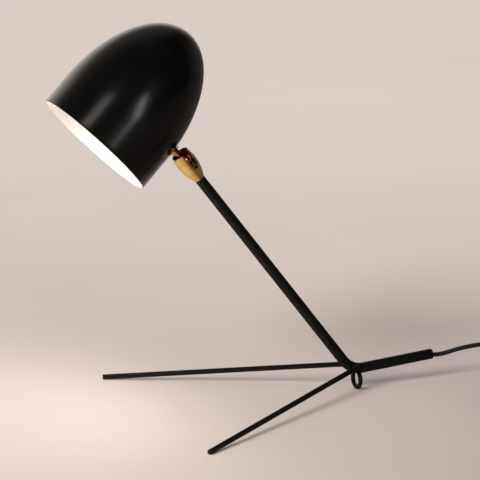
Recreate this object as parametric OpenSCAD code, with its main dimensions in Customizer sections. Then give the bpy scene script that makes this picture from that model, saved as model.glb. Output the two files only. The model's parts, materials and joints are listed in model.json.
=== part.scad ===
// Tripod table lamp. A bell-shaped shade hangs by its side from a brass ball swivel on a bent tube arm.
// Two rod legs and a small foot ring carry the arm, and a mains lead leaves its rear end.
// The origin is on the table, under the middle of the foot ring. +X points to the rear tube, +Z is up.

/* [Arm] */
// Outer diameter of the arm tube
arm_d = 10; // [9:0.5:13]
// Wall thickness of the arm tube
arm_wall = 1; // [0.8:0.1:1.5]
// Angle of the arm above the table, in degrees
arm_rise = 52; // [46:1:62]
// Length of the arm, from the corner of the two centre lines to the swivel
arm_len = 259; // [220:1:300]
// Length of the rear tube, from the corner of the two centre lines to its open end
rear_len = 88; // [60:1:120]
// Angle of the rear tube above the table, in degrees
rear_rise = 4; // [0:0.5:8]
// Radius of the bend, at the tube's centre line
bend_r = 25; // [20:1:32]
// Length of the insulating bush in the rear end
bush_len = 14; // [8:1:25]

/* [Legs and foot ring] */
// Diameter of the leg rods
leg_d = 5; // [4:0.5:7]
// Reach of a leg over the table, from its weld to its tip
leg_reach = 246; // [200:1:300]
// Angle between each leg and the arm's plane, in degrees
leg_spread = 30.5; // [22:0.5:40]
// Height of a leg's weld above the centre line of the tube
leg_lift = 2.6; // [1:0.1:3.2]
// Outer diameter of the foot ring
ring_d = 20.4; // [18:0.2:26]
// Diameter of the foot ring's wire
ring_wire = 4.2; // [3.5:0.1:5]
// Distance from the foot ring back to the corner of the arm's centre lines
ring_back = 6.4; // [5:0.1:9]
// Depth of the flats where the feet stand on the table
foot_flat = 0.25; // [0.2:0.05:0.4]

/* [Swivel] */
// Largest diameter of the brass swivel
belly_d = 19.8; // [19.4:0.1:23]
// Height of the largest diameter above the arm's end
belly_h = 21.5; // [20:0.5:24]
// Step from the arm out to the swivel's neck
neck_step = 0.2; // [0.05:0.05:0.6]
// Height of the swivel's rim above the arm's end
rim_h = 31; // [30:0.5:33]
// Outer diameter of the rim
rim_d = 17; // [17:0.1:19]
// Thickness of the lip at the rim
rim_lip = 0.6; // [0.5:0.05:0.8]
// Height of the joint between the swivel's two halves
seam_h = 9; // [8:0.5:10]
// Height of the ball's centre above the arm's end
ball_h = 23.5; // [22.5:0.5:24.5]
// Diameter of the ball
ball_d = 14; // [13:0.2:14.4]
// Clearance around the ball
ball_gap = 0.15; // [0.1:0.05:0.25]
// Diameter of the ball's neck
ball_neck_d = 7; // [6:0.2:7]
// Bore through the ball and its stem, for the wires
stem_bore_d = 4.6; // [4.4:0.1:5]
// Diameter of the stem's thread
stem_d = 8; // [7.5:0.5:9]
// Side clearance of the ball's neck in the slot
slot_gap = 0.4; // [0.3:0.1:0.8]
// Height of the slot's bottom above the arm's end
slot_h = 12.5; // [12:0.5:15]
// Length of the swivel's spigot inside the arm
spigot_len = 12; // [8:1:20]
// Running clearance of spigots and stems, on the radius
run_gap = 0.05; // [0.03:0.01:0.08]
// Thickness of the stem's collar
collar_t = 1; // [0.8:0.1:1]
// Diameter of the stem's collar
collar_d = 12; // [10:0.5:13]

/* [Shade] */
// Outer diameter of the shade
shade_d = 120; // [110:1:140]
// Depth of the shade, from its mouth to its crown
shade_len = 136; // [130:1:150]
// Length of the straight part at the mouth
shade_straight = 33; // [26:1:36]
// Slant of the mouth, lower on the swivel's side, in degrees
mouth_slant = 2.2; // [0:0.1:4]
// Thickness of the shade
shade_wall = 1; // [0.8:0.1:1.4]
// Distance of the stem from the mouth
stem_at = 43; // [40:1:48]
// Distance from the ball's centre to the widest part of the shade
ball_to_shade = 12.8; // [12.8:0.1:15]

/* [Lampholder and bulb] */
// Width of the bracket's strap
strap_w = 14; // [12:1:18]
// Thickness of the bracket's strap
strap_t = 1.5; // [1:0.1:2]
// Half the length of the bracket's foot
foot_half = 8; // [7:0.5:9]
// Distance of the bracket's plate below the crown
crown_gap = 19; // [18:1:24]
// Diameter of the lampholder's threaded tube
nipple_d = 10; // [9:0.5:10]
// Outer diameter of the lampholder
holder_d = 27; // [25:0.5:30]
// Length of the lampholder's cap
cap_len = 12; // [10:0.5:14]
// Length of the lampholder's centre contact
contact_len = 2; // [1:0.5:4]
// Diameter of the bulb's screw cap
cap_thread_d = 13.9; // [13.9:0.1:14]
// Length of the bulb's screw cap
cap_thread_len = 19; // [18:0.5:20]
// Diameter of the bulb's glass
bulb_d = 45; // [40:1:48]
// Length of the bulb's glass
bulb_len = 56; // [53:1:60]
// Wall thickness of the bulb's glass
bulb_wall = 1; // [0.8:0.1:1.2]

/* [Mains lead] */
// Diameter of the lead
lead_d = 4.5; // [4.2:0.1:4.5]
// Diameter of one insulated wire
wire_d = 2; // [1.8:0.1:2.1]
// Thickness of the bush under the lead
bush_floor = 0.45; // [0.3:0.05:0.6]
// Outer radius of the coil, at the lead's centre line
coil_r = 31; // [31:0.5:34]
// Distance between neighbouring turns, and between layers
coil_pitch = 5; // [4.95:0.05:5.2]
// Number of layers in the coil
coil_layers = 4; // [2:2:4]
// Number of turns in the coil
coil_turns = 8.75; // [6.75:1:8.75]
// Thickness of the strap round the coil
tie_t = 1; // [0.8:0.1:1.4]
// Width of the strap round the coil
tie_w = 8; // [6:1:9]
// Clearance of the strap round the coil
tie_gap = 0.6; // [0.6:0.1:1]

/* [Switch] */
// Length of the inline switch
switch_len = 60; // [56:1:64]
// Width of the inline switch
switch_w = 24; // [22:1:28]
// Height of the switch's lower shell
switch_base_h = 7; // [6.5:0.1:7.5]
// Height of the switch's upper shell
switch_lid_h = 9; // [8.5:0.1:10]
// Wall thickness of both shells
switch_wall = 1.6; // [1.2:0.1:2]
// Length of the rocker
rocker_len = 14; // [12:0.5:16]
// Width of the rocker
rocker_w = 8; // [7:0.5:9]
// Clearance round the rocker
rocker_gap = 0.3; // [0.2:0.05:0.5]
// Tilt of the rocker when it is on, in degrees
rocker_tilt = 6; // [4:0.5:7]

/* [Plug] */
// Diameter of a plug pin
pin_d = 4; // [3.8:0.1:4.2]
// Length of a plug pin outside the body
pin_len = 19; // [17:1:20]
// Distance between the two pins
pin_pitch = 19; // [17:0.5:20]
// Width of the plug's body at the pins
plug_w = 35.3; // [32:0.1:37]
// Length of the plug's body
plug_len = 30; // [26:1:34]
// Thickness of the plug's body
plug_t = 13.7; // [13:0.1:14.5]
// Length of the plug's tapered strain relief
boot_len = 22; // [20:1:30]

/* [Pose of the head] */
// Turn of the swivel about the arm, in degrees
swivel_turn = -72; // [-170:1:170]
// Lean of the stem away from the slot, in degrees
head_lean = 25; // [-80:1:25]
// Turn of the shade about its stem, in degrees
shade_turn = 70; // [-160:1:160]

/* [Hidden] */

// Smoothness of round parts
$fn = 96;
// Small overlap of cutting tools past a face
eps = 0.5;
// Side of a block that cuts away everything under the table
cut_size = 900;
black = [0.1, 0.1, 0.1];
dark_rubber = [0.16, 0.16, 0.16];
steel = [0.7, 0.7, 0.72];
brass = [0.83, 0.66, 0.32];
cream = [0.93, 0.92, 0.88];
fibre = [0.45, 0.2, 0.15];

// ---- the arm's centre line: arm, bend and rear tube, all in the plane y = 0 ----
bore_r = arm_d / 2 - arm_wall;
bend_angle = arm_rise + rear_rise;
bend_run = bend_r * tan(bend_angle / 2);
// The tube rests on the foot ring, one wire thickness into it
mid_z = ring_d - ring_wire + arm_d / 2 - foot_flat;
arc_x = -ring_back + bend_run * cos(rear_rise) - bend_r * sin(rear_rise);
arc_z = mid_z + sqrt(bend_r * bend_r - arc_x * arc_x);
corner = [-ring_back, 0, arc_z - bend_run * sin(rear_rise) - bend_r * cos(rear_rise)];
rear_dir = [cos(rear_rise), 0, sin(rear_rise)];
rear_up = [-sin(rear_rise), 0, cos(rear_rise)];
// Height of the tube's centre line over the bend, at a given x
function bend_z(x) = arc_z - sqrt(bend_r * bend_r - (x - arc_x) * (x - arc_x));

// ---- the mains lead's route, in hand-chosen points. Each stretch starts and ends square to its neighbour ----
lead_r = lead_d / 2;
lead_sides = 8;
// Distance of the lead below the middle of the tube
lead_drop = bore_r - lead_r - bush_floor;
exit_point = corner + rear_len * rear_dir - lead_drop * rear_up;
switch_entry = [190, -48, switch_base_h];
lead_route = concat([exit_point, exit_point + lead_r * rear_dir], [
  [89, 0, 24.2], [97, 0, 24.8], [109, 0, 26.8], [121, 0, 28.1], [133, 0, 28.7], [144, 0, 28.3], [154, -1, 26.5],
  [164, -4, 23], [174, -10, 18.5], [182, -19, 14], [187, -29, 10.5], [190, -39, 7.8]
], [switch_entry + [0, lead_r, 0], switch_entry]);
link_start = switch_entry - [0, switch_len, 0];
coil_floor = tie_t + tie_gap / 2 + lead_r;
coil_mid = [130, -105, coil_floor];
coil_start = coil_mid + [lead_d, -coil_r, 0];
link_route = concat([link_start, link_start - [0, lead_r, 0]], [
  [190, -116, 6.5], [187, -126, 5.4], [180, -133, 4.4], [170, -136, 4], [158, -136, 3.9], [146, -136, 3.8]
], [coil_start + [lead_r, 0, 0], coil_start]);
layer_turns = coil_turns / coil_layers;
coil_top = (coil_layers - 1) * coil_pitch;
coil_finish = coil_mid + [coil_r, -lead_d, coil_top];
plug_entry = [137, -160, plug_t / 2];
end_route = concat([coil_finish, coil_finish - [0, lead_r, 0]], [
  [161, -118, 17.4], [161, -127, 13.8], [161, -136, 10.2], [158, -148, 7.8], [149, -157, 7]
], [plug_entry + [lead_r, 0, 0], plug_entry]);

function unit(v) = v / norm(v);
function route_length(route, i = 0) = i >= len(route) - 1 ? 0 : norm(route[i + 1] - route[i]) + route_length(route, i + 1);

// ---- the coil: an even spiral in, out, in and out again, one layer up at each reversal ----
coil_steps = 24;
coil_sides = 6;
// How far a spiral has travelled across a layer, from 0 outside to 1 inside
function layer_share(turn) = let (w = turn / layer_turns, f = w - floor(w)) floor(w) % 2 == 0 ? f : 1 - f;
// Smooth rise from 0 to 1
function smooth_step(u) = let (v = min(1, max(0, u))) (1 - cos(180 * v)) / 2;
// Each layer is climbed in the half turn where the spiral reverses
function climb(turn, layer = 1) = layer >= coil_layers ? 0
  : smooth_step((turn - layer * layer_turns + 0.25) / 0.5) + climb(turn, layer + 1);
function coil_radius(turn) = coil_r - coil_pitch * layer_turns * layer_share(turn);
function coil_point(turn) = let (r = coil_radius(turn), a = -90 - 360 * turn)
  coil_mid + [r * cos(a), r * sin(a), coil_pitch * climb(turn)];
coil_count = round(coil_turns * coil_steps);
coil_turns_route = [for (i = [0 : coil_count]) coil_point(i * coil_turns / coil_count)];
coil_route = concat([coil_start], coil_turns_route, [coil_finish]);
// Least gap between parts of the coil that are at least half a turn apart
coil_gap = min([for (i = [0 : coil_count]) for (j = [i + coil_steps / 2 : coil_count])
  norm(coil_turns_route[i] - coil_turns_route[j])]) - lead_d;
echo(coil_gap = coil_gap);
echo(coil_length = route_length(coil_route));
echo(lead_length = route_length(lead_route));
echo(link_length = route_length(link_route));
echo(end_length = route_length(end_route));

// ---- the swivel's outline: two arcs that share a vertical tangent at the belly ----
belly_r = belly_d / 2;
function arc_radius(rise, drop) = (rise * rise + drop * drop) / (2 * drop);
lower_arc = arc_radius(belly_h, belly_r - arm_d / 2 - neck_step);
upper_arc = arc_radius(rim_h - belly_h, belly_r - rim_d / 2);
function swivel_r(h) = let (big = h < belly_h ? lower_arc : upper_arc)
  belly_r - big + sqrt(big * big - (h - belly_h) * (h - belly_h));
outline_steps = 16;
function swivel_outline(low, high) = [for (i = [0 : outline_steps])
  let (h = low + (high - low) * i / outline_steps) [swivel_r(h), h]];
ball_r = ball_d / 2;
seat_r = ball_r + ball_gap;
// The bore below the ball is a little wider than the seat
cup_bore_r = seat_r + 0.1;
seat_clear = 0.15;
// Height above the ball's centre at which the seat ends and the mouth flares
lip_rise = 3.2;
spigot_r = bore_r - run_gap;
wire_bore_r = wire_d + 0.6;
washer_floor = seam_h + 2.5;
washer_t = 0.6;
washer_rise = 0.95;
seat_floor = washer_floor + 2 * (washer_t + washer_rise);
seat_top = ball_h - 0.73 * ball_r;

// ---- the shade and what hangs in it, in the shade's own frame ----
// Its z runs from the mouth to the crown, and its x points at the ball.
shade_r = shade_d / 2;
function dome_r(r, h, z) = z <= shade_straight ? r
  : r * sqrt(max(0, 1 - pow((z - shade_straight) / (h - shade_straight), 2)));
function shade_in_r(z) = dome_r(shade_r - shade_wall, shade_len - shade_wall, z);
dome_steps = 32;
function dome_outline(r, h, low) = concat([[0, low], [r, low]], [for (i = [0 : dome_steps])
  [r * cos(90 * i / dome_steps), shade_straight + (h - shade_straight) * sin(90 * i / dome_steps)]]);
// How far the slanted mouth reaches below the shade's origin
mouth_low = -shade_r * tan(mouth_slant);
collar_face = ball_to_shade - run_gap;
hole_r = stem_d / 2 + run_gap;
// The bracket's flat foot touches the round wall with its corners
foot_face = sqrt(pow(shade_in_r(stem_at + foot_half), 2) - strap_w * strap_w / 4) - 0.1;
foot_depth = ball_to_shade + shade_r - foot_face;
washer_depth = foot_depth + strap_t + run_gap;
stem_washer_t = 1;
stem_nut_t = 4.5;
nut_depth = washer_depth + stem_washer_t;
stem_end = nut_depth + stem_nut_t + 1.7;
stem_washer_d = stem_d + 6;
stem_nut_d = stem_d * 1.7;
wire_half = wire_d / 2 + run_gap;
plate_h = shade_len - crown_gap;
// The strap's centre line: foot, slope and plate
strap_elbow = holder_d / 2 + 4;
plate_back = 9;
strap_line = [
  [foot_face - strap_t / 2, stem_at - foot_half], [foot_face - strap_t / 2, stem_at + foot_half],
  [strap_elbow, plate_h + strap_t / 2], [-plate_back, plate_h + strap_t / 2]
];
holder_r = holder_d / 2;
holder_wall = 2;
cap_low = plate_h - cap_len;
nipple_r = nipple_d / 2;
nipple_wall = 1.5;
nipple_in = 5;
holder_nut_t = 4;
block_t = 5;
block_low = cap_low - block_t;
liner_gap = 0.2;
liner_t = 0.5;
screw_r = cap_thread_d / 2;
tip_r = 2.2;
tip_h = 2.5;
screw_top = block_low - contact_len - tip_h;
screw_low = screw_top - cap_thread_len;
holder_low = screw_low - 1.5;
bulb_r = bulb_d / 2;
glass_low = screw_low - bulb_len;
bulb_mid = glass_low + bulb_r;
neck_r = screw_r + 0.6;
sleeve_d = 4.4;
// The stem turns with the ball and the sleeve with the shade, so a gap keeps them apart
sleeve_gap = 0.6;
// The sleeve runs from the stem's end round the lampholder's side and down through the nipple
sleeve_start = [ball_to_shade + shade_r - stem_end - sleeve_gap, 0, stem_at];
sleeve_elbow = [-16, 10, 23];
sleeve_low = sleeve_start + sleeve_elbow;
sleeve_side = holder_r + 7.5;
sleeve_drop = cap_len + 1;
sleeve_high = [sleeve_side, strap_w / 2 + 7, plate_h - sleeve_drop];
sleeve_route = concat(
  [for (p = [[0, 0, 0], [-2, 0, 0], [-6, 0, 0.5], [-11, 2, 4], [-14, 6, 12]]) sleeve_start + p],
  [for (i = [0 : 3]) sleeve_low + (sleeve_high - sleeve_low) * i / 3],
  [for (p = [[18, 13, -2], [13, 11, 6], [7, 7, 11], [2, 2.5, 12], [0, 0.5, 9], [0, 0, 4], [0, 0, -1]])
    p + [0, 0, plate_h]]
);

// ---- placing ----
module in_arm_plane() rotate([90, 0, 0]) children();
module at_arm_top() translate(corner) rotate([0, arm_rise - 90, 0]) translate([0, 0, arm_len]) children();
module in_swivel() at_arm_top() rotate([0, 0, swivel_turn]) children();
module in_ball() in_swivel() translate([0, 0, ball_h]) rotate([0, -head_lean, 0]) children();
module in_shade() in_ball() rotate([0, 0, shade_turn])
  translate([-stem_at, 0, ball_to_shade + shade_r]) rotate([0, 90, 0]) children();
module below_table() translate([-cut_size / 2, -cut_size / 2, -cut_size]) cube(cut_size);

// A straight rod between two points
module rod(from, to, r) {
  v = to - from;
  translate(from) rotate([0, acos(v[2] / norm(v)), atan2(v[1], v[0])]) cylinder(h = norm(v), r = r);
}

// A round bar along the arm's path. Sunk shifts it out of the bend and down the rear tube.
// The bend is a hair thicker, and the straight runs reach a little into it, so no two surfaces coincide.
bend_swell = 0.02;
bend_lap = 0.5;
module along_arm(r, sunk = 0, top_short = 0) {
  translate(corner) rotate([0, arm_rise - 90, 0]) translate([-sunk, 0, bend_run - bend_lap])
    cylinder(h = arm_len - bend_run + bend_lap - top_short, r = r);
  translate([arc_x, 0, arc_z]) in_arm_plane() rotate([0, 0, -90 - arm_rise])
    rotate_extrude(angle = bend_angle) translate([bend_r + sunk, 0]) circle(r + bend_swell);
  translate(corner) rotate([0, 90 - rear_rise, 0]) translate([sunk, 0, bend_run - bend_lap])
    cylinder(h = rear_len - bend_run + bend_lap, r = r);
}

// A round tube along a route, built as one closed mesh with square ends
function route_dir(route, i) = unit(route[min(i + 1, len(route) - 1)] - route[max(i - 1, 0)]);
function ring_at(p, t, r, sides, ref) = let (side = unit(cross(t, ref)), up = cross(side, t))
  [for (k = [0 : sides - 1]) let (a = 360 * k / sides) p + r * (cos(a) * side + sin(a) * up)];
module swept(route, r, sides, ref = [0, 0, 1]) {
  n = len(route);
  points = [for (i = [0 : n - 1]) each ring_at(route[i], route_dir(route, i), r, sides, ref)];
  walls = [for (i = [0 : n - 2]) for (k = [0 : sides - 1])
    let (a = i * sides + k, b = i * sides + (k + 1) % sides) each [[a, a + sides, b], [b, a + sides, b + sides]]];
  first_cap = [for (k = [1 : sides - 2]) [0, k, k + 1]];
  last = (n - 1) * sides;
  last_cap = [for (k = [1 : sides - 2]) [last, last + k + 1, last + k]];
  polyhedron(points = points, faces = concat(walls, first_cap, last_cap));
}

// A rectangle with round corners
module round_rect(length, width, r) {
  square([length - 2 * r, width], center = true);
  square([length, width - 2 * r], center = true);
  for (x = [-1, 1]) for (y = [-1, 1]) translate([x * (length / 2 - r), y * (width / 2 - r)]) circle(r);
}

// ---- stand ----
module arm_tube() {
  color(black) difference() {
    along_arm(arm_d / 2);
    along_arm(bore_r);
  }
}

leg_root_x = -1;
weld_bite = 1.5;
module leg(side) {
  root_y = arm_d / 2 + leg_d / 2 - weld_bite;
  root = [leg_root_x, side * root_y, bend_z(leg_root_x) + leg_lift];
  tip = [
    leg_root_x - leg_reach * cos(leg_spread),
    side * (root_y + leg_reach * sin(leg_spread)),
    leg_d / 2 - foot_flat
  ];
  color(black) difference() {
    rod(root, tip, leg_d / 2);
    along_arm(arm_d / 2);
    below_table();
  }
}
module left_leg() leg(1);
module right_leg() leg(-1);

module foot_ring() {
  color(black) difference() {
    translate([0, 0, ring_d / 2 - foot_flat]) rotate([0, 90, 0])
      rotate_extrude() translate([ring_d / 2 - ring_wire / 2, 0]) circle(ring_wire / 2);
    along_arm(arm_d / 2);
    below_table();
  }
}

module cord_bush() {
  color(dark_rubber) translate(corner) rotate([0, 90 - rear_rise, 0]) translate([0, 0, rear_len - bush_len])
    difference() {
      cylinder(h = bush_len, r = bore_r);
      translate([lead_drop, 0, -eps]) cylinder(h = bush_len + 2 * eps, r = lead_r + run_gap);
    }
}

module arm_flex() {
  color(dark_rubber) along_arm(lead_r, sunk = lead_drop, top_short = spigot_len + 1);
}

// ---- swivel ----
module swivel_base() {
  color(brass) in_swivel() difference() {
    rotate_extrude() polygon(concat(
      [[0, -spigot_len], [spigot_r, -spigot_len], [spigot_r, 0]],
      swivel_outline(0, seam_h),
      [[cup_bore_r - run_gap, seam_h], [cup_bore_r - run_gap, washer_floor], [0, washer_floor]]
    ));
    translate([0, 0, -spigot_len - eps]) cylinder(h = spigot_len + washer_floor + 2 * eps, r = wire_bore_r);
  }
}

// The slot's outline, seen along the slot: straight sides and a round bottom
slot_r = ball_neck_d / 2 + slot_gap;
slot_arc = 12;
module slot_outline() {
  polygon(concat(
    [for (i = [0 : slot_arc]) let (a = 180 + 180 * i / slot_arc)
      [slot_r * cos(a), slot_h + slot_r + slot_r * sin(a)]],
    [[slot_r, rim_h + eps], [-slot_r, rim_h + eps]]
  ));
}

module swivel_cup() {
  lip_r = sqrt(seat_r * seat_r - lip_rise * lip_rise);
  flare_h = rim_h - ball_h - lip_rise;
  flare_slope = (rim_d / 2 - rim_lip - lip_r) / flare_h;
  color(brass) in_swivel() difference() {
    rotate_extrude() polygon(concat([[0, seam_h]], swivel_outline(seam_h, rim_h), [[0, rim_h]]));
    translate([0, 0, seam_h - eps]) cylinder(h = ball_h - seam_h + eps, r = cup_bore_r);
    translate([0, 0, ball_h]) sphere(seat_r);
    translate([0, 0, ball_h + lip_rise])
      cylinder(h = flare_h + eps, r1 = lip_r, r2 = lip_r + flare_slope * (flare_h + eps));
    rotate([90, 0, 90]) linear_extrude(belly_d) slot_outline();
  }
}

module ball_seat() {
  color(cream) in_swivel() difference() {
    translate([0, 0, seat_floor]) cylinder(h = seat_top - seat_floor, r = cup_bore_r - seat_clear);
    translate([0, 0, ball_h]) sphere(seat_r);
    translate([0, 0, seat_floor - eps]) cylinder(h = seat_top - seat_floor + 2 * eps, r = ball_r / 2);
  }
}

module spring_washers() {
  outer = cup_bore_r - 2 * seat_clear;
  inner = ball_r / 2 + seat_clear;
  section = [[outer, 0], [outer, washer_t], [inner, washer_t + washer_rise], [inner, washer_rise]];
  color(steel) in_swivel() {
    translate([0, 0, washer_floor]) rotate_extrude() polygon(section);
    translate([0, 0, seat_floor]) mirror([0, 0, 1]) rotate_extrude() polygon(section);
  }
}

module wire_pair(low, high) {
  for (side = [-1, 1]) translate([0, side * wire_half, low]) cylinder(h = high - low, r = wire_d / 2);
}

module swivel_wires() {
  color(fibre) in_swivel() wire_pair(-spigot_len, seat_floor);
}

module swivel_ball() {
  color(brass) in_ball() difference() {
    union() {
      sphere(ball_r);
      cylinder(h = collar_face, r = ball_neck_d / 2);
      translate([0, 0, collar_face - collar_t]) cylinder(h = collar_t, r = collar_d / 2);
      translate([0, 0, collar_face - collar_t]) cylinder(h = stem_end - collar_face + collar_t, r = stem_d / 2);
    }
    translate([0, 0, -ball_r - eps]) cylinder(h = ball_r + stem_end + 2 * eps, r = stem_bore_d / 2);
  }
}

module stem_washer() {
  color(steel) in_ball() translate([0, 0, washer_depth]) difference() {
    cylinder(h = stem_washer_t, r = stem_washer_d / 2);
    translate([0, 0, -eps]) cylinder(h = stem_washer_t + 2 * eps, r = stem_d / 2);
  }
}

module stem_nut() {
  color(brass) in_ball() translate([0, 0, nut_depth]) difference() {
    cylinder(h = stem_nut_t, r = stem_nut_d / 2, $fn = 6);
    translate([0, 0, -eps]) cylinder(h = stem_nut_t + 2 * eps, r = stem_d / 2);
  }
}

module stem_wires() {
  color(fibre) in_ball() wire_pair(-ball_r + 0.5, stem_end);
}

// ---- shade ----
module stem_hole() translate([0, 0, stem_at]) rotate([0, 90, 0]) cylinder(h = shade_d, r = hole_r);

module below_mouth() rotate([0, mouth_slant, 0]) translate([-shade_d, -shade_d, -shade_d])
  cube([2 * shade_d, 2 * shade_d, shade_d]);

module shade() {
  color(black) in_shade() difference() {
    rotate_extrude() polygon(dome_outline(shade_r, shade_len, mouth_low - eps));
    rotate_extrude() polygon(dome_outline(shade_r - shade_wall, shade_len - shade_wall, mouth_low - 2 * eps));
    below_mouth();
    stem_hole();
  }
}

// The saddle washer fills the gap between the flat foot and the round wall
saddle_r = strap_w / 2 - 1;
module saddle_washer() {
  color(fibre) in_shade() difference() {
    intersection() {
      cylinder(h = shade_len, r = shade_in_r(stem_at + saddle_r), $fn = 4 * $fn);
      translate([foot_face, 0, stem_at]) rotate([0, 90, 0]) cylinder(h = shade_r, r = saddle_r);
    }
    stem_hole();
  }
}

// Offsets an open line to one side, with mitred corners
function side_normal(a, b) = let (d = unit(b - a)) [-d[1], d[0]];
function mitre(line, i) = i == 0 ? side_normal(line[0], line[1])
  : i == len(line) - 1 ? side_normal(line[i - 1], line[i])
  : let (m = side_normal(line[i - 1], line[i]), n = side_normal(line[i], line[i + 1])) (m + n) / (1 + m * n);
function shifted(line, by) = [for (i = [0 : len(line) - 1]) line[i] + by * mitre(line, i)];
module strap_side() {
  outer = shifted(strap_line, strap_t / 2);
  inner = shifted(strap_line, -strap_t / 2);
  polygon(concat(outer, [for (i = [len(inner) - 1 : -1 : 0]) inner[i]]));
}

module holder_bracket() {
  color(steel) in_shade() difference() {
    translate([0, strap_w / 2, 0]) rotate([90, 0, 0]) linear_extrude(strap_w) strap_side();
    stem_hole();
    translate([0, 0, plate_h - eps]) cylinder(h = strap_t + 2 * eps, r = nipple_r + run_gap);
  }
}

nipple_top = plate_h + strap_t + holder_nut_t + 1.5;
module holder_nipple() {
  color(steel) in_shade() translate([0, 0, plate_h - nipple_in]) difference() {
    cylinder(h = nipple_top - plate_h + nipple_in, r = nipple_r);
    translate([0, 0, -eps]) cylinder(h = nipple_top - plate_h + nipple_in + 2 * eps, r = nipple_r - nipple_wall);
  }
}

module holder_nut() {
  color(steel) in_shade() translate([0, 0, plate_h + strap_t]) difference() {
    cylinder(h = holder_nut_t, r = nipple_d * 0.8, $fn = 6);
    translate([0, 0, -eps]) cylinder(h = holder_nut_t + 2 * eps, r = nipple_r);
  }
}

module holder_cap() {
  color(black) in_shade() difference() {
    translate([0, 0, cap_low]) cylinder(h = cap_len, r = holder_r);
    translate([0, 0, cap_low - eps]) cylinder(h = cap_len - nipple_in + eps, r = holder_r - holder_wall);
    translate([0, 0, cap_low]) cylinder(h = cap_len + eps, r = nipple_r);
  }
}

module holder_shell() {
  color(black) in_shade() difference() {
    translate([0, 0, holder_low]) cylinder(h = cap_low - holder_low, r = holder_r);
    translate([0, 0, holder_low - eps]) cylinder(h = cap_low - holder_low + 2 * eps, r = holder_r - holder_wall);
  }
}

module contact_block() {
  color(cream) in_shade() difference() {
    translate([0, 0, block_low]) cylinder(h = block_t, r = holder_r - holder_wall);
    for (side = [-1, 1]) translate([0, side * holder_r / 2, block_low - eps])
      cylinder(h = block_t + 2 * eps, r = wire_d / 2 + run_gap);
  }
}

liner_r = screw_r + liner_gap;
module thread_liner() {
  color(brass) in_shade() difference() {
    translate([0, 0, screw_low + liner_gap]) cylinder(h = block_low - screw_low - liner_gap, r = liner_r + liner_t);
    translate([0, 0, holder_low]) cylinder(h = block_low - holder_low + eps, r = liner_r);
  }
}

module centre_contact() {
  color(brass) in_shade() translate([0, 0, screw_top + tip_h]) cylinder(h = block_low - screw_top - tip_h, r = tip_r);
}

module holder_leads() {
  color(cream) in_shade() swept(sleeve_route, sleeve_d / 2, lead_sides, [0, 1, 0.01]);
}

module bulb_base() {
  color(brass) in_shade() rotate_extrude() polygon([
    [0, screw_low], [screw_r, screw_low], [screw_r, screw_top - 1], [screw_r - 1.5, screw_top],
    [tip_r, screw_top + tip_h - 1], [tip_r, screw_top + tip_h], [0, screw_top + tip_h]
  ]);
}

module bulb_mount() {
  filament_len = bulb_r;
  color(cream) in_shade() {
    translate([0, 0, bulb_mid]) cylinder(h = screw_low - bulb_mid, r = 2.5);
    for (a = [45 : 90 : 315]) rotate([0, 0, a]) translate([2, 0, bulb_mid - filament_len / 2])
      cylinder(h = filament_len, r = 1);
  }
}

// A ball that runs into a neck along a concave arc
glass_steps = 20;
function glass_outline(r, low, neck) =
  let (mid = bulb_mid, fillet = bulb_r * 0.6, dx = neck + fillet, a = acos(dx / (r + fillet)))
  concat(
    [for (i = [0 : glass_steps]) let (t = -90 + (90 + a) * i / glass_steps) [r * cos(t), mid + r * sin(t)]],
    [for (i = [1 : glass_steps / 2]) let (t = 180 + a - a * i / (glass_steps / 2))
      [dx + fillet * cos(t), mid + (r + fillet) * sin(a) + fillet * sin(t)]],
    [[neck, low], [0, low]]
  );
module bulb_glass() {
  color(cream) in_shade() difference() {
    rotate_extrude() polygon(glass_outline(bulb_r, screw_low, neck_r));
    rotate_extrude() polygon(glass_outline(bulb_r - bulb_wall, screw_low + eps, neck_r - bulb_wall));
  }
}

// ---- mains lead, switch and plug ----
module cord_lead() color(black) swept(lead_route, lead_r, lead_sides);
module cord_link() color(black) swept(link_route, lead_r, lead_sides);
module cord_end() color(black) swept(end_route, lead_r, lead_sides);
module cord_coil() color(black) swept(coil_route, lead_r, coil_sides);

module coil_tie() {
  low = coil_r - coil_pitch * layer_turns - lead_r - tie_gap;
  high = coil_r + lead_r + tie_gap;
  top = coil_mid[2] + coil_top + lead_r + tie_gap;
  color(dark_rubber) translate([coil_mid[0], coil_mid[1] + tie_w / 2, 0]) rotate([90, 0, 0])
    linear_extrude(tie_w) difference() {
      translate([-high - tie_t, 0]) square([high - low + 2 * tie_t, top + tie_t]);
      translate([-high, tie_t]) square([high - low, top - tie_t]);
    }
}

// The switch lies along the lead, with its parting plane at the lead's height
module in_switch() translate(switch_entry - [0, switch_len / 2, switch_base_h]) rotate([0, 0, -90]) children();
switch_corner = 5;
switch_h = switch_base_h + switch_lid_h;
post_r = 2.8;
post_x = switch_len / 2 - 9;
post_y = switch_w / 2 - switch_wall - post_r - 0.4;
screw_hole_r = 1.4;
screw_head_r = 2.2;
screw_head_t = 1.2;
screw_end = switch_h - switch_wall - 1;
pivot_h = switch_h - 3.4;
trunnion_r = 1.2;
trunnion_len = 1.6;
lug_half = 2.4;
window_slack = 0.4;
module shell_outline(inset) round_rect(switch_len - 2 * inset, switch_w - 2 * inset, switch_corner - inset);
module at_posts() for (end = [-1, 1]) translate([end * post_x, end * post_y, 0]) children();
module lead_hole() translate([-switch_len, 0, switch_base_h]) rotate([0, 90, 0])
  cylinder(h = 2 * switch_len, r = lead_r - 2 * run_gap);

module switch_base() {
  color(black) in_switch() difference() {
    union() {
      difference() {
        linear_extrude(switch_base_h) shell_outline(0);
        translate([0, 0, switch_wall]) linear_extrude(switch_base_h) shell_outline(switch_wall);
      }
      at_posts() cylinder(h = switch_base_h, r = post_r);
    }
    at_posts() translate([0, 0, -eps]) {
      cylinder(h = switch_h, r = screw_hole_r);
      cylinder(h = screw_head_t + eps, r = screw_head_r);
    }
    lead_hole();
  }
}

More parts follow.
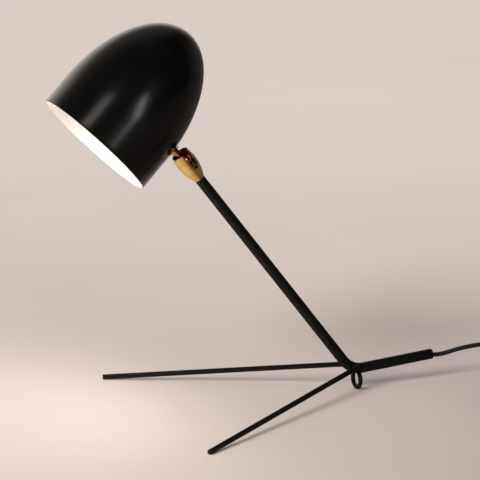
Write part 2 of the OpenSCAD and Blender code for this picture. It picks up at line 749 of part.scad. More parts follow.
module switch_lid() {
  color(black) in_switch() difference() {
    union() {
      difference() {
        translate([0, 0, switch_base_h]) linear_extrude(switch_lid_h) shell_outline(0);
        translate([0, 0, switch_base_h - eps]) linear_extrude(switch_lid_h - switch_wall + eps)
          shell_outline(switch_wall);
      }
      at_posts() translate([0, 0, switch_base_h]) cylinder(h = switch_lid_h - switch_wall / 2, r = post_r);
      for (y = [-1, 1]) translate([0, y * (rocker_w / 2 + rocker_gap + trunnion_len / 2), 0])
        translate([-lug_half, -trunnion_len / 2, pivot_h - lug_half])
        cube([2 * lug_half, trunnion_len, switch_h - switch_wall / 2 - pivot_h + lug_half]);
    }
    at_posts() cylinder(h = screw_end, r = screw_hole_r);
    translate([-rocker_len / 2 - rocker_gap - window_slack, -rocker_w / 2 - rocker_gap, pivot_h])
      cube([rocker_len + 2 * (rocker_gap + window_slack), rocker_w + 2 * rocker_gap, switch_lid_h]);
    translate([0, switch_w / 2 - switch_wall, pivot_h]) rotate([90, 0, 0])
      cylinder(h = switch_w - 2 * switch_wall, r = trunnion_r + run_gap);
    lead_hole();
  }
}

module switch_rocker() {
  half = rocker_len / 2;
  color(dark_rubber) in_switch() translate([0, 0, pivot_h]) rotate([0, rocker_tilt, 0]) {
    translate([0, rocker_w / 2, 0]) rotate([90, 0, 0]) linear_extrude(rocker_w) polygon([
      [-half, 4], [0, 3.2], [half, 4], [half, -0.4], [half / 3, -2.2], [-half / 3, -2.2], [-half, -0.4]
    ]);
    translate([0, -rocker_w / 2 - trunnion_len, 0]) rotate([-90, 0, 0])
      cylinder(h = rocker_w + 2 * trunnion_len, r = trunnion_r);
  }
}

strip_w = 4;
strip_len = 10;
strip_t = 0.8;
module switch_contacts() {
  color(brass) in_switch() for (side = [-1, 1]) {
    translate([side * strip_len - strip_len / 2, -strip_w / 2, switch_wall]) cube([strip_len, strip_w, strip_t]);
    translate([side * strip_len / 2 - strip_t / 2, -strip_w / 2, switch_wall])
      cube([strip_t, strip_w, switch_base_h - switch_wall]);
  }
}

// One wire ends at each contact strip, and the other passes straight through beside them
module switch_wires() {
  wire_h = switch_base_h - wire_d / 2 - 0.5;
  inner_half = switch_len / 2 - switch_wall;
  strip_face = strip_len / 2 + strip_t / 2;
  color(fibre) in_switch() {
    for (side = [-1, 1]) translate([side * strip_face, 0, wire_h]) rotate([0, side * 90, 0])
      cylinder(h = inner_half - strip_face, r = wire_d / 2);
    translate([-inner_half, -strip_w / 2 - wire_half, wire_h]) rotate([0, 90, 0])
      cylinder(h = 2 * inner_half, r = wire_d / 2);
  }
}

module switch_screws() {
  color(steel) in_switch() at_posts() {
    cylinder(h = screw_head_t, r = screw_head_r);
    cylinder(h = screw_end, r = screw_hole_r);
  }
}

// The plug's x runs from the strain relief to the pins
module in_plug() translate(plug_entry) rotate([0, 0, 180]) translate([boot_len, 0, 0]) children();
boot_tip_r = lead_r + 1;
boot_root_r = 5.5;
pin_root = 8;
pin_root_r = pin_d / 2 + 0.4;
module plug_body() {
  back_half = boot_root_r + 2.5;
  color(black) in_plug() difference() {
    union() {
      translate([0, 0, -plug_t / 2]) linear_extrude(plug_t) polygon([
        [0, -back_half], [plug_len * 0.7, -plug_w / 2], [plug_len, -plug_w / 2],
        [plug_len, plug_w / 2], [plug_len * 0.7, plug_w / 2], [0, back_half]
      ]);
      translate([-boot_len, 0, 0]) rotate([0, 90, 0]) cylinder(h = boot_len, r1 = boot_tip_r, r2 = boot_root_r);
    }
    for (side = [-1, 1]) translate([plug_len - pin_root, side * pin_pitch / 2, 0]) rotate([0, 90, 0])
      cylinder(h = pin_root + eps, r = pin_root_r);
  }
}

module plug_pins() {
  color(steel) in_plug() for (side = [-1, 1]) translate([plug_len - pin_root, side * pin_pitch / 2, 0])
    rotate([0, 90, 0]) {
      cylinder(h = pin_root, r = pin_root_r);
      cylinder(h = pin_root + pin_len, r = pin_d / 2);
    }
}

arm_tube();
left_leg();
right_leg();
foot_ring();
cord_bush();
arm_flex();
swivel_base();
swivel_cup();
ball_seat();
spring_washers();
swivel_wires();
swivel_ball();
stem_washer();
stem_nut();
stem_wires();
shade();
saddle_washer();
holder_bracket();
holder_nipple();
holder_nut();
holder_cap();
holder_shell();
contact_block();
thread_liner();
centre_contact();
holder_leads();
bulb_base();
bulb_mount();
bulb_glass();
cord_lead();
switch_base();
switch_lid();
switch_rocker();
switch_contacts();
switch_wires();
switch_screws();
cord_link();
cord_coil();
coil_tie();
cord_end();
plug_body();
plug_pins();
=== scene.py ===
"""Tripod table lamp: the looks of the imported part, with a plain studio round it."""
import json
import math

import bpy
from mathutils import Matrix, Vector


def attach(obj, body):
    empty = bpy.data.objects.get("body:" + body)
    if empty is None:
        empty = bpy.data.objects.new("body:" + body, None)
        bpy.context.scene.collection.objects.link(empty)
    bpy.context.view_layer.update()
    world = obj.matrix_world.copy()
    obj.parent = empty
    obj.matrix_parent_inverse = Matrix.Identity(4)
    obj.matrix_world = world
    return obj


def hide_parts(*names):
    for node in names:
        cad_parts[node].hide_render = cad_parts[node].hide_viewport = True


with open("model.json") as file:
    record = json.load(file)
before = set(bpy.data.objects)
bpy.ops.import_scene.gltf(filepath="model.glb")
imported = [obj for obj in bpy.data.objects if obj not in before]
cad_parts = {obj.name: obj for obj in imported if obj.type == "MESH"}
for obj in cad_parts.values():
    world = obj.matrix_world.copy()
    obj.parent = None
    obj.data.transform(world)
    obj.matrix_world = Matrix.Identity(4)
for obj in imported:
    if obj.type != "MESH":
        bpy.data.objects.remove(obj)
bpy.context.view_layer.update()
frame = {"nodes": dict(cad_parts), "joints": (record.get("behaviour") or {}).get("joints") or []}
scene = bpy.context.scene
nodes = frame["nodes"]
joints = {j["name"]: j for j in frame["joints"]}
MM = 0.001
TINY = 1e-9


# ---- the camera, at the photo's angle ----
CAMERA_AZIMUTH = math.radians(-24.23)
CAMERA_ELEVATION = math.radians(13.43)
CAMERA_TARGET = Vector((-0.12423, 0, 0.16048))
CAMERA_DISTANCE = 2.5
CAMERA_LENS = 199.74
SENSOR_WIDTH = 36
VIEW_DEPTH = 50


def from_angles(azimuth, elevation):
    """Unit vector towards a place seen at that azimuth and elevation; azimuth 0 is towards -Y."""
    flat = math.cos(elevation)
    return Vector((math.sin(azimuth) * flat, -math.cos(azimuth) * flat, math.sin(elevation)))


def aim(obj, place, target):
    """Puts obj at place, looking at target, with its X level."""
    back = (Vector(place) - Vector(target)).normalized()
    side = Vector((0, 0, 1)).cross(back).normalized()
    turn = Matrix((side, back.cross(side), back)).transposed()
    obj.matrix_world = Matrix.Translation(place) @ turn.to_4x4()


def make_camera():
    data = bpy.data.cameras.new("camera")
    data.lens = CAMERA_LENS
    data.sensor_width = SENSOR_WIDTH
    data.clip_end = VIEW_DEPTH
    camera = bpy.data.objects.new("camera", data)
    scene.collection.objects.link(camera)
    place = CAMERA_TARGET + CAMERA_DISTANCE * from_angles(CAMERA_AZIMUTH, CAMERA_ELEVATION)
    aim(camera, place, CAMERA_TARGET)
    scene.camera = camera


make_camera()
scene.view_settings.view_transform = "Standard"


# ---- meshes ----
def mesh_object(name, points, faces, smooth=True):
    mesh = bpy.data.meshes.new(name)
    mesh.from_pydata([tuple(p) for p in points], [], faces)
    mesh.validate()
    for polygon in mesh.polygons:
        polygon.use_smooth = smooth
    obj = bpy.data.objects.new(name, mesh)
    scene.collection.objects.link(obj)
    return obj


def catmull_rom(route, per_span):
    """A smooth curve through the route's points, leaving both ends along the first and last stretch."""
    p = [Vector(q) for q in route]
    p = [2 * p[0] - p[1]] + p + [2 * p[-1] - p[-2]]
    out = []
    for i in range(1, len(p) - 2):
        a, b, c, d = p[i - 1], p[i], p[i + 1], p[i + 2]
        near, far = (b - a).length, (d - c).length
        span = (c - b).length
        into = ((c - a) / max(near + span, TINY)) * span
        away = ((d - b) / max(span + far, TINY)) * span
        for k in range(per_span):
            t = k / per_span
            t2, t3 = t * t, t * t * t
            out.append((2 * t3 - 3 * t2 + 1) * b + (t3 - 2 * t2 + t) * into
                       + (3 * t2 - 2 * t3) * c + (t3 - t2) * away)
    out.append(p[-2])
    return out


def tube(name, line, radius, sides=16, taper=None):
    """A closed round tube along a line of points. taper gives the radius's factor at a share of the line."""
    line = [Vector(p) for p in line]
    count = len(line)
    heading = [(line[min(i + 1, count - 1)] - line[max(i - 1, 0)]).normalized() for i in range(count)]
    side = heading[0].orthogonal().normalized()
    points = []
    for i, (p, t) in enumerate(zip(line, heading)):
        side = (side - t * side.dot(t)).normalized()
        up = t.cross(side)
        r = radius * (taper(i / (count - 1)) if taper else 1)
        points += [p + r * (math.cos(a) * side + math.sin(a) * up)
                   for a in (2 * math.pi * k / sides for k in range(sides))]
    faces = [(i * sides + k, i * sides + (k + 1) % sides,
              (i + 1) * sides + (k + 1) % sides, (i + 1) * sides + k)
             for i in range(count - 1) for k in range(sides)]
    faces += [tuple(reversed(range(sides))), tuple((count - 1) * sides + k for k in range(sides))]
    return mesh_object(name, points, faces)


# ---- the mains lead: the same route points as the part, in millimetres ----
LEAD_D = 4.5
LEAD_R = LEAD_D / 2
REAR_RISE = math.radians(4)
REAR_DIR = Vector((math.cos(REAR_RISE), 0, math.sin(REAR_RISE)))
EXIT = Vector((81.476, 0, 24.396))
SWITCH_ENTRY = Vector((190, -48, 7))
SWITCH_LEN = 60
COIL_R, COIL_PITCH, COIL_LAYERS, COIL_TURNS = 31, 5, 4, 8.75
CLIMB_TURNS = 0.5
COIL_MID = Vector((130, -105, 3.55))
PLUG_ENTRY = Vector((137, -160, 6.85))
STUB_X, STUB_Y = Vector((LEAD_R, 0, 0)), Vector((0, LEAD_R, 0))
lead_route = [EXIT, EXIT + LEAD_R * REAR_DIR] + [Vector(p) for p in [
    (89, 0, 24.2), (97, 0, 24.8), (109, 0, 26.8), (121, 0, 28.1), (133, 0, 28.7), (144, 0, 28.3),
    (154, -1, 26.5), (164, -4, 23), (174, -10, 18.5), (182, -19, 14), (187, -29, 10.5), (190, -39, 7.8)]
] + [SWITCH_ENTRY + STUB_Y, SWITCH_ENTRY]
link_start = SWITCH_ENTRY - Vector((0, SWITCH_LEN, 0))
coil_start = COIL_MID + Vector((LEAD_D, -COIL_R, 0))
link_route = [link_start, link_start - STUB_Y] + [Vector(p) for p in [
    (190, -116, 6.5), (187, -126, 5.4), (180, -133, 4.4), (170, -136, 4), (158, -136, 3.9), (146, -136, 3.8)]
] + [coil_start + STUB_X]
coil_finish = COIL_MID + Vector((COIL_R, -LEAD_D, (COIL_LAYERS - 1) * COIL_PITCH))
end_route = [coil_finish - STUB_Y] + [Vector(p) for p in [
    (161, -118, 17.4), (161, -127, 13.8), (161, -136, 10.2), (158, -148, 7.8), (149, -157, 7)]
] + [PLUG_ENTRY + STUB_X, PLUG_ENTRY]


def coil_point(turn):
    """The spiral goes in, out, in and out, and climbs a layer in the half turn round each reversal."""
    per_layer = COIL_TURNS / COIL_LAYERS
    layer = min(int(turn / per_layer), COIL_LAYERS - 1)
    share = turn / per_layer - layer
    share = share if layer % 2 == 0 else 1 - share
    climb = 0
    for n in range(1, COIL_LAYERS):
        done = (turn - n * per_layer + CLIMB_TURNS / 2) / CLIMB_TURNS
        climb += (1 - math.cos(math.pi * min(1, max(0, done)))) / 2
    radius = COIL_R - COIL_PITCH * per_layer * share
    angle = -math.pi / 2 - 2 * math.pi * turn
    return COIL_MID + Vector((radius * math.cos(angle), radius * math.sin(angle), COIL_PITCH * climb))


def metres(points):
    return [Vector(p) * MM for p in points]


STEPS_PER_TURN = 48
STEPS_PER_SPAN = 5
coil_steps = round(COIL_TURNS * STEPS_PER_TURN)
coil_line = [coil_point(COIL_TURNS * i / coil_steps) for i in range(coil_steps + 1)]
link_line = catmull_rom(link_route + [coil_start, coil_line[0]], STEPS_PER_SPAN)
end_line = catmull_rom([coil_line[-1], coil_finish] + end_route, STEPS_PER_SPAN)
lead_line = metres(catmull_rom(lead_route, STEPS_PER_SPAN))
rest_line = metres(link_line[:-1] + coil_line + end_line[1:])
lead_cord = tube("lead_to_switch", lead_line, LEAD_R * MM)
rest_cord = tube("lead_to_plug", rest_line, LEAD_R * MM)


# ---- the tapered boots where the lead meets the switch ----
# Length and step are in metres, radii in millimetres
BOOT_LEN, BOOT_STEP = 0.022, 0.0005
BOOT_FOOT, BOOT_TIP = 4.6, 2.6
BOOT_RIBS, RIB_SHARE, GROOVE_DEPTH = 6, 0.62, 0.45
# The last rib runs out to the tip without a groove
BOOT_PLAIN_FROM = 0.95
BOOT_SIDES = 28


def first_stretch(line, length, step):
    """Even points along the line's first stretch."""
    out, gone = [line[0]], 0
    for a, b in zip(line, line[1:]):
        part = (b - a).length
        while len(out) * step <= gone + part + TINY and len(out) * step <= length + TINY:
            out.append(a.lerp(b, (len(out) * step - gone) / part))
        gone += part
    return out


def boot_radius(share):
    """A cone from the housing to the lead, with a groove after each rib but the last."""
    groove = share * BOOT_RIBS % 1 > RIB_SHARE and share < BOOT_PLAIN_FROM
    return BOOT_FOOT + (BOOT_TIP - BOOT_FOOT) * share - (GROOVE_DEPTH if groove else 0)


def make_boot(name, line):
    """A boot that starts where the line starts."""
    return tube(name, first_stretch(line, BOOT_LEN, BOOT_STEP), MM, BOOT_SIDES, boot_radius)


lead_boot = make_boot("switch_boot_in", lead_line[::-1])
rest_boot = make_boot("switch_boot_out", rest_line)
for boot in (lead_boot, rest_boot):
    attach(boot, "stand")
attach(lead_cord, "stand")
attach(rest_cord, "stand")
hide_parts("cord_lead")
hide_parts("cord_link", "cord_coil", "cord_end")


# ---- where the head stands: the same turns as the part's, lengths in millimetres ----
ARM_RISE = math.radians(52)
SWIVEL_TURN, HEAD_LEAN, SHADE_TURN = [math.radians(a) for a in (-72, 25, 70)]
BALL_H, STEM_AT, BALL_TO_SHADE = 23.5, 43, 12.8
SHADE_R, SHADE_LEN, SHADE_STRAIGHT, SHADE_WALL = 60, 136, 33, 1
MOUTH_SLANT = math.tan(math.radians(2.2))
BULB_R, BULB_MID = 22.5, 43
arm_up = Vector(joints["swivel_turn"]["axis"]).normalized()
arm_top = Vector(joints["swivel_turn"]["pos_m"])
stem_up = Vector(joints["shade_spin"]["axis"]).normalized()


def turned(axis, angle):
    return Matrix.Rotation(angle, 4, axis)


in_swivel = Matrix.Translation(arm_top) @ turned("Y", ARM_RISE - math.pi / 2) @ turned("Z", SWIVEL_TURN)
in_ball = in_swivel @ Matrix.Translation((0, 0, BALL_H * MM)) @ turned("Y", -HEAD_LEAN)
in_shade = (in_ball @ turned("Z", SHADE_TURN)
            @ Matrix.Translation((-STEM_AT * MM, 0, (BALL_TO_SHADE + SHADE_R) * MM))
            @ turned("Y", math.pi / 2))
mouth = in_shade.translation
crown_way = (in_shade.to_3x3() @ Vector((0, 0, 1))).normalized()


# ---- materials ----
class Nodes:
    """A short way to build a material's nodes."""

    def __init__(self, name):
        self.material = bpy.data.materials.new(name)
        self.material.use_nodes = True
        self.tree = self.material.node_tree
        self.shader = self.tree.nodes["Principled BSDF"]
        self.place = self.tree.nodes.new("ShaderNodeTexCoord").outputs["Object"]

    def add(self, kind, inputs=(), **settings):
        node = self.tree.nodes.new(kind)
        for key, value in settings.items():
            setattr(node, key, value)
        for key, value in dict(inputs).items():
            self.join(node.inputs[key], value)
        return node

    def join(self, socket, value):
        if isinstance(value, bpy.types.NodeSocket):
            self.tree.links.new(value, socket)
        else:
            socket.default_value = value

    def noise(self, scale, detail, rough=0.5):
        settings = {"Vector": self.place, "Scale": scale, "Detail": detail, "Roughness": rough}
        return self.add("ShaderNodeTexNoise", settings).outputs["Fac"]

    def along(self, axis, scale):
        """Noise that only changes along an axis: rings round a turned piece."""
        dot = self.add("ShaderNodeVectorMath", {0: self.place, 1: tuple(axis)}, operation="DOT_PRODUCT")
        return self.add("ShaderNodeTexNoise", {"W": dot.outputs["Value"], "Scale": scale, "Detail": 2.0},
                        noise_dimensions="1D").outputs["Fac"]

    def spread(self, value, low, high, start=0.3, end=0.7):
        return self.add("ShaderNodeMapRange", {"Value": value, "From Min": start, "From Max": end,
                                               "To Min": low, "To Max": high}).outputs["Result"]

    def blend(self, share, a, b):
        node = self.add("ShaderNodeMix", data_type="RGBA")
        self.join(node.inputs["Factor"], share)
        self.join(node.inputs["A"], a)
        self.join(node.inputs["B"], b)
        return node.outputs["Result"]

    def bump(self, *layers):
        """Each layer is (height, strength, depth in metres)."""
        normal = None
        for height, strength, depth in layers:
            node = self.add("ShaderNodeBump", {"Height": height, "Strength": strength, "Distance": depth})
            if normal is not None:
                self.tree.links.new(normal, node.inputs["Normal"])
            normal = node.outputs["Normal"]
        self.tree.links.new(normal, self.shader.inputs["Normal"])

    def set(self, **values):
        for key, value in values.items():
            self.join(self.shader.inputs[key.replace("_", " ")], value)
        return self.material


def rgba(r, g, b):
    return (r, g, b, 1.0)


def lacquer(name, dark, pale, rough_low, rough_high, peel=0.06, index=1.5, satin_edge=0.0):
    """Sprayed lacquer with a little orange peel. satin_edge dulls its gloss where it turns away."""
    n = Nodes(name)
    n.shader.inputs["IOR"].default_value = index
    cloud = n.noise(22, 4)
    fine = n.noise(900, 2)
    n.bump((n.noise(420, 2), peel, 0.0002), (n.noise(1600, 1), peel / 2, 0.0001))
    colour = n.blend(n.spread(n.noise(35, 3), 0, 1), rgba(*dark), rgba(*pale))
    gloss = n.add("ShaderNodeMath", {0: n.spread(cloud, rough_low, rough_high),
                                     1: n.spread(fine, -0.015, 0.015)}, operation="ADD").outputs[0]
    if satin_edge:
        facing = n.add("ShaderNodeLayerWeight", {"Blend": 0.5}).outputs["Facing"]
        gloss = n.add("ShaderNodeMath", {0: gloss, 1: n.spread(facing, 0, satin_edge, 0.15, 0.75)},
                      operation="ADD").outputs[0]
    return n.set(Base_Color=colour, Roughness=gloss)


RING_SCALE, RING_STRENGTH = 2600, 0.12


def metal(name, dark, pale, rough_low, rough_high, axis=None):
    """Polished metal, with turning rings round an axis if one is given."""
    n = Nodes(name)
    patina = n.spread(n.noise(140, 5, 0.6), 0, 1, 0.35, 0.75)
    colour = n.blend(patina, rgba(*pale), rgba(*dark))
    gloss = n.spread(n.noise(260, 4), rough_low, rough_high)
    layers = [(n.noise(1200, 3), 0.04, 0.0001)]
    if axis is not None:
        layers.append((n.along(axis, RING_SCALE), RING_STRENGTH, 0.0001))
    n.bump(*layers)
    return n.set(Base_Color=colour, Roughness=gloss, Metallic=1.0)


def moulded(name, dark, pale, rough_low, rough_high, grain=1500, depth=0.18):
    """Moulded plastic or rubber with a fine grain."""
    n = Nodes(name)
    colour = n.blend(n.spread(n.noise(60, 4), 0, 1), rgba(*dark), rgba(*pale))
    n.bump((n.noise(grain, 3), depth, 0.0002), (n.noise(grain / 12, 2), depth / 3, 0.0003))
    return n.set(Base_Color=colour, Roughness=n.spread(n.noise(grain / 4, 2), rough_low, rough_high))


# Each material gets a dark and a pale colour, then its lowest and its highest roughness
BLACK = (0.0022, 0.0020, 0.0018)
BLACK_PALE = (0.0040, 0.0036, 0.0032)
black_lacquer = lacquer("black_lacquer", BLACK, BLACK_PALE, 0.20, 0.26, peel=0.04, index=1.34)
tube_lacquer = lacquer("tube_lacquer", BLACK, BLACK_PALE, 0.36, 0.44,
                       peel=0.08, index=1.32, satin_edge=0.55)
white_lacquer = lacquer("white_lacquer", (0.82, 0.81, 0.78), (0.86, 0.85, 0.83), 0.35, 0.45)
olive_brass = metal("olive_brass", (0.60, 0.36, 0.11), (0.83, 0.58, 0.22), 0.10, 0.20, arm_up)
# The ball's brass is painted darker and redder than the olive's: painted shade and painted reflection of the
# black shade, where the ball sits in the cup
shaded_ball_brass = metal("shaded_ball_brass", (0.40, 0.17, 0.08), (0.62, 0.31, 0.15), 0.14, 0.24, stem_up)
pressed_brass = metal("pressed_brass", (0.55, 0.38, 0.14), (0.78, 0.60, 0.28), 0.22, 0.34)
zinc_steel = metal("zinc_steel", (0.42, 0.42, 0.43), (0.62, 0.62, 0.64), 0.24, 0.38)
nickel = metal("nickel", (0.60, 0.59, 0.57), (0.74, 0.73, 0.71), 0.14, 0.24)
black_plastic = moulded("black_plastic", (0.010, 0.010, 0.010), (0.018, 0.018, 0.018), 0.42, 0.56)
lead_sheath = moulded("lead_sheath", (0.008, 0.008, 0.008), (0.015, 0.014, 0.014), 0.34, 0.46,
                      grain=700, depth=0.12)
core_sheath = moulded("core_sheath", (0.22, 0.07, 0.03), (0.32, 0.11, 0.05), 0.35, 0.45, grain=900)
red_fibre = moulded("red_fibre", (0.05, 0.015, 0.010), (0.09, 0.028, 0.018), 0.65, 0.8, grain=500, depth=0.3)
steatite = moulded("steatite", (0.74, 0.71, 0.63), (0.85, 0.83, 0.77), 0.25, 0.4, grain=300, depth=0.1)
glass_sleeve = moulded("glass_sleeve", (0.70, 0.69, 0.64), (0.85, 0.84, 0.80), 0.6, 0.75,
                       grain=1800, depth=0.5)


def opal_glass():
    """A lit opal bulb: warm white glass that glows, and lets the lamp inside it shine through."""
    n = Nodes("opal_glass")
    glow = n.blend(n.spread(n.noise(30, 2), 0, 1), rgba(1.0, 0.92, 0.80), rgba(1.0, 0.95, 0.86))
    n.bump((n.noise(400, 2), 0.03, 0.0001))
    n.set(Base_Color=rgba(0.92, 0.90, 0.86), Roughness=n.spread(n.noise(200, 2), 0.12, 0.2),
          Emission_Color=glow, Emission_Strength=1.6)
    shadow = n.add("ShaderNodeLightPath").outputs["Is Shadow Ray"]
    clear = n.add("ShaderNodeBsdfTransparent").outputs["BSDF"]
    mix = n.add("ShaderNodeMixShader", {0: shadow, 1: n.shader.outputs["BSDF"], 2: clear})
    n.tree.links.new(mix.outputs[0], n.tree.nodes["Material Output"].inputs["Surface"])
    return n.material


lit_glass = opal_glass()

NODE_MATERIALS = {
    tube_lacquer: ["arm_tube", "left_leg", "right_leg", "foot_ring"],
    olive_brass: ["swivel_base", "swivel_cup"],
    shaded_ball_brass: ["swivel_ball"],
    pressed_brass: ["stem_nut", "thread_liner", "centre_contact", "switch_contacts"],
    zinc_steel: ["spring_washers", "stem_washer", "holder_bracket", "holder_nipple", "holder_nut",
                 "switch_screws"],
    nickel: ["bulb_base", "plug_pins"],
    black_plastic: ["cord_bush", "holder_cap", "holder_shell", "switch_base", "switch_lid", "switch_rocker",
                    "coil_tie", "plug_body"],
    lead_sheath: ["arm_flex", "cord_lead", "cord_link", "cord_coil", "cord_end"],
    core_sheath: ["swivel_wires", "stem_wires", "switch_wires"],
    red_fibre: ["ball_seat", "saddle_washer"],
    steatite: ["contact_block"],
    glass_sleeve: ["holder_leads"],
    lit_glass: ["bulb_mount", "bulb_glass"],
}


def paint(obj, *materials):
    obj.data.materials.clear()
    for m in materials:
        obj.data.materials.append(m)


for material, names in NODE_MATERIALS.items():
    for name in names:
        paint(nodes[name], material)
paint(nodes["shade"], black_lacquer)
paint(lead_cord, lead_sheath)
paint(rest_cord, lead_sheath)
paint(lead_boot, black_plastic)
paint(rest_boot, black_plastic)


# ---- the shade: a spun shell with a rolled edge ----
STRAIGHT_STEPS, RIM_STEPS, DOME_STEPS = 8, 8, 72
SHADE_SIDES = 160


def dome(radius, depth, steps):
    """The wall's line from just above the mouth to the crown."""
    out = [(radius, SHADE_STRAIGHT * (i / STRAIGHT_STEPS)) for i in range(1, STRAIGHT_STEPS)]
    out += [(radius * math.cos(a), SHADE_STRAIGHT + (depth - SHADE_STRAIGHT) * math.sin(a))
            for a in (math.pi / 2 * i / steps for i in range(steps))]
    return out + [(0, depth)]


def lathe(name, line, sides, materials, second_from):
    """A surface turned round Z. Points on the axis become one vertex; the second material starts at a row."""
    points, rows = [], []
    for r, z in line:
        if r < TINY:
            rows.append([len(points)])
            points.append((0, 0, z * MM))
        else:
            rows.append([len(points) + k for k in range(sides)])
            points += [(r * MM * math.cos(a), r * MM * math.sin(a), z * MM)
                       for a in (2 * math.pi * k / sides for k in range(sides))]
    faces, slots = [], []
    for i, (a, b) in enumerate(zip(rows, rows[1:])):
        for k in range(sides):
            if len(a) == 1:
                face = (a[0], b[(k + 1) % sides], b[k])
            elif len(b) == 1:
                face = (a[k], a[(k + 1) % sides], b[0])
            else:
                face = (a[k], a[(k + 1) % sides], b[(k + 1) % sides], b[k])
            faces.append(face)
            slots.append(1 if i >= second_from else 0)
    obj = mesh_object(name, points, faces)
    paint(obj, *materials)
    obj.data.polygons.foreach_set("material_index", slots)
    return obj


half_wall = SHADE_WALL / 2
outside = list(reversed(dome(SHADE_R, SHADE_LEN, DOME_STEPS)))
rim_arc = [(SHADE_R - half_wall + half_wall * math.cos(a), half_wall - half_wall * math.sin(a))
           for a in (math.pi * i / RIM_STEPS for i in range(RIM_STEPS + 1))]
inside = dome(SHADE_R - SHADE_WALL, SHADE_LEN - SHADE_WALL, DOME_STEPS)
# The white starts at the middle of the rolled edge
shade_shell = lathe("shade_shell", outside + rim_arc + inside, SHADE_SIDES, (black_lacquer, white_lacquer),
                    len(outside) + RIM_STEPS // 2)
# The straight part is sheared, so that the mouth slants and the dome stays round
for v in shade_shell.data.vertices:
    v.co.z -= MOUTH_SLANT * v.co.x * max(0, 1 - v.co.z / (SHADE_STRAIGHT * MM))
shade_shell.data.transform(in_shade)
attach(shade_shell, "head")
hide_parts("shade")


# ---- floor, world and lights ----
CAMERA_WAY = Vector((math.sin(CAMERA_AZIMUTH), -math.cos(CAMERA_AZIMUTH), 0))
CAMERA_SIDE = Vector((math.cos(CAMERA_AZIMUTH), math.sin(CAMERA_AZIMUTH), 0))
TABLE_HALF = 9
# The near right colour is painted shade and the far colour is painted light
TABLE_NEAR, TABLE_NEAR_RIGHT_SHADE = (0.59, 0.517, 0.475), (0.425, 0.362, 0.347)
TABLE_FAR_LIT = (0.665, 0.605, 0.57)
# Painted reflection: the table's colour as gloss sees it, pale on the left and dark on the right
MIRRORED_LEFT, MIRRORED_RIGHT = (0.62, 0.53, 0.48), (0.15, 0.13, 0.12)
SKY = (0.448, 0.445, 0.443)
STUDIO_DARK, STUDIO_PALE = (0.03, 0.027, 0.025), (1.5, 1.38, 1.30)


def make_floor():
    """A pale table with painted light towards the back and painted shade at the near right; gloss sees it
    painted dark on its right side, a painted reflection.
    """
    n = Nodes("table_top")

    def distance(way):
        """How far along a level direction a point lies, in metres."""
        dot = n.add("ShaderNodeVectorMath", {0: n.place, 1: tuple(way)}, operation="DOT_PRODUCT")
        return dot.outputs["Value"]

    def smooth(value, start, end):
        return n.add("ShaderNodeMapRange", {"Value": value, "From Min": start, "From Max": end},
                     interpolation_type="SMOOTHSTEP").outputs["Result"]

    back = distance(-CAMERA_WAY)
    side = distance(CAMERA_SIDE)
    # Masks for the painted light towards the back and the painted shade at the near right
    far = smooth(back, 0.05, 1.4)
    right = smooth(side, -0.15, 0.25)
    near = n.spread(back, 1, 0, 0.05, 0.4)
    dim = n.add("ShaderNodeMath", {0: right, 1: near}, operation="MULTIPLY").outputs[0]
    near_colour_shaded = n.blend(dim, rgba(*TABLE_NEAR), rgba(*TABLE_NEAR_RIGHT_SHADE))
    colour = n.blend(far, near_colour_shaded, rgba(*TABLE_FAR_LIT))
    grain = n.spread(n.noise(2.2, 3), 0.97, 1.03)
    grey = n.add("ShaderNodeCombineXYZ", {0: grain, 1: grain, 2: grain}).outputs[0]
    colour = n.add("ShaderNodeVectorMath", {0: colour, 1: grey}, operation="MULTIPLY").outputs[0]
    # Painted reflection: seen in gloss, the table is pale on the left and dark on the right
    in_reflection = n.add("ShaderNodeLightPath").outputs["Is Glossy Ray"]
    mirrored = n.blend(smooth(side, -0.12, 0.10), rgba(*MIRRORED_LEFT), rgba(*MIRRORED_RIGHT))
    colour = n.blend(in_reflection, colour, mirrored)
    n.bump((n.noise(60, 3), 0.02, 0.0005))
    n.set(Base_Color=colour, Roughness=0.8)
    n.shader.inputs["Specular IOR Level"].default_value = 0.2
    corners = [(x * TABLE_HALF, y * TABLE_HALF, 0) for x, y in ((-1, -1), (1, -1), (1, 1), (-1, 1))]
    floor = mesh_object("table_top", corners, [(0, 1, 2, 3)], smooth=False)
    paint(floor, n.material)


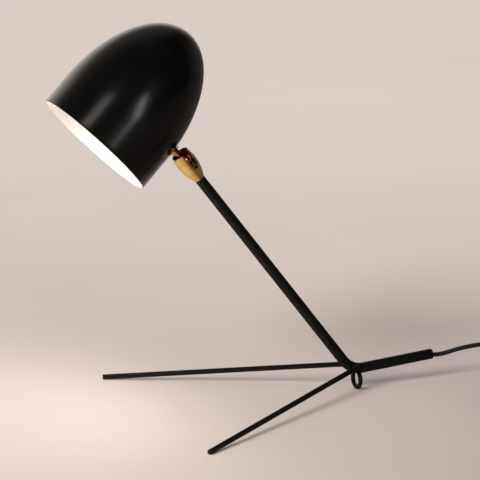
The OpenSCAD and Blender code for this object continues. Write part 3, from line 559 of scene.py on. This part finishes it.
def make_world():
    """Even soft light. Gloss sees a pale studio behind the lamp, darker to the camera, up and right."""
    world = bpy.data.worlds.new("studio")
    scene.world = world
    world.use_nodes = True
    tree = world.node_tree
    sky = tree.nodes["Background"]
    way = tree.nodes.new("ShaderNodeTexCoord").outputs["Generated"]

    def dot_with(direction):
        node = tree.nodes.new("ShaderNodeVectorMath")
        node.operation = "DOT_PRODUCT"
        tree.links.new(way, node.inputs[0])
        node.inputs[1].default_value = tuple(direction)
        return node.outputs["Value"]

    def fade(value, start, end, last):
        """Smoothly from 1 at start down to last at end."""
        node = tree.nodes.new("ShaderNodeMapRange")
        node.interpolation_type = "SMOOTHSTEP"
        for socket, number in (("From Min", start), ("From Max", end), ("To Min", 1.0), ("To Max", last)):
            node.inputs[socket].default_value = number
        tree.links.new(value, node.inputs["Value"])
        return node.outputs["Result"]

    ramp = tree.nodes.new("ShaderNodeValToRGB")
    ramp.color_ramp.interpolation = "EASE"
    for element, place, colour in zip(ramp.color_ramp.elements, (0.05, 0.55), (STUDIO_DARK, STUDIO_PALE)):
        element.position = place
        element.color = rgba(*colour)
    tree.links.new(dot_with(-CAMERA_WAY), ramp.inputs["Fac"])
    up = tree.nodes.new("ShaderNodeSeparateXYZ")
    tree.links.new(way, up.inputs[0])
    both = tree.nodes.new("ShaderNodeMath")
    both.operation = "MULTIPLY"
    tree.links.new(fade(up.outputs["Z"], 0.35, 0.62, 0.2), both.inputs[0])
    tree.links.new(fade(dot_with(CAMERA_SIDE), 0.1, 0.5, 0.12), both.inputs[1])
    dim = tree.nodes.new("ShaderNodeVectorMath")
    dim.operation = "SCALE"
    tree.links.new(ramp.outputs["Color"], dim.inputs[0])
    tree.links.new(both.outputs["Value"], dim.inputs["Scale"])
    path = tree.nodes.new("ShaderNodeLightPath")
    mix = tree.nodes.new("ShaderNodeMix")
    mix.data_type = "RGBA"
    mix.inputs["A"].default_value = rgba(*SKY)
    tree.links.new(path.outputs["Is Glossy Ray"], mix.inputs["Factor"])
    tree.links.new(dim.outputs["Vector"], mix.inputs["B"])
    tree.links.new(mix.outputs["Result"], sky.inputs["Color"])
    sky.inputs["Strength"].default_value = 1.0


NEAR_THE_HEAD = (-0.2, 0, 0.2)
STREAK_COLOUR = (1.0, 0.95, 0.90)


def streak_light(name, azimuth, elevation, distance, width, height, power):
    """A softbox that only shows as a streak in the gloss."""
    data = bpy.data.lights.new(name, "AREA")
    data.shape = "RECTANGLE"
    data.size, data.size_y = width, height
    data.energy = power
    data.color = STREAK_COLOUR
    light = bpy.data.objects.new(name, data)
    scene.collection.objects.link(light)
    place = Vector(NEAR_THE_HEAD) + distance * from_angles(math.radians(azimuth), math.radians(elevation))
    aim(light, place, NEAR_THE_HEAD)
    light.visible_camera = False
    light.visible_diffuse = False


def key_light(azimuth, elevation, width, strength, colour):
    """A far and wide window; width is how many degrees of the sky it takes up."""
    data = bpy.data.lights.new("key_light", "SUN")
    data.angle = math.radians(width)
    data.energy = strength
    data.color = colour
    light = bpy.data.objects.new("key_light", data)
    scene.collection.objects.link(light)
    aim(light, from_angles(math.radians(azimuth), math.radians(elevation)), (0, 0, 0))
    light.visible_glossy = False


make_floor()
make_world()
key_light(azimuth=-65, elevation=31.4, width=26, strength=3.75, colour=(1.0, 0.945, 0.91))
streak_light("left_streak", azimuth=-48, elevation=40, distance=1.8, width=0.45, height=0.28, power=2.2)
streak_light("front_streak", azimuth=8, elevation=14, distance=2.2, width=0.25, height=0.8, power=6.8)

POOL_HEIGHT, POOL_ANGLE, POOL_BLEND = 3, 156, 0.75
# A ball of light that ends just outside the glass
GLOW_SIZE = BULB_R * MM * 1.05


def head_light(name, kind, power, colour, height):
    """A light on the shade's axis that turns with the head; its height above the mouth is in millimetres."""
    data = bpy.data.lights.new(name, kind)
    data.energy = power
    data.color = colour
    data.shadow_soft_size = GLOW_SIZE
    light = bpy.data.objects.new(name, data)
    scene.collection.objects.link(light)
    place = mouth + crown_way * height * MM
    aim(light, place, place - crown_way)
    light.visible_camera = False
    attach(light, "head")
    return data


head_light("bulb_light", "POINT", power=0.09, colour=(1.0, 0.97, 0.92), height=BULB_MID)
pool = head_light("pool_light", "SPOT", power=1.45, colour=(1.0, 0.96, 0.83), height=POOL_HEIGHT)
pool.spot_size = math.radians(POOL_ANGLE)
pool.spot_blend = POOL_BLEND
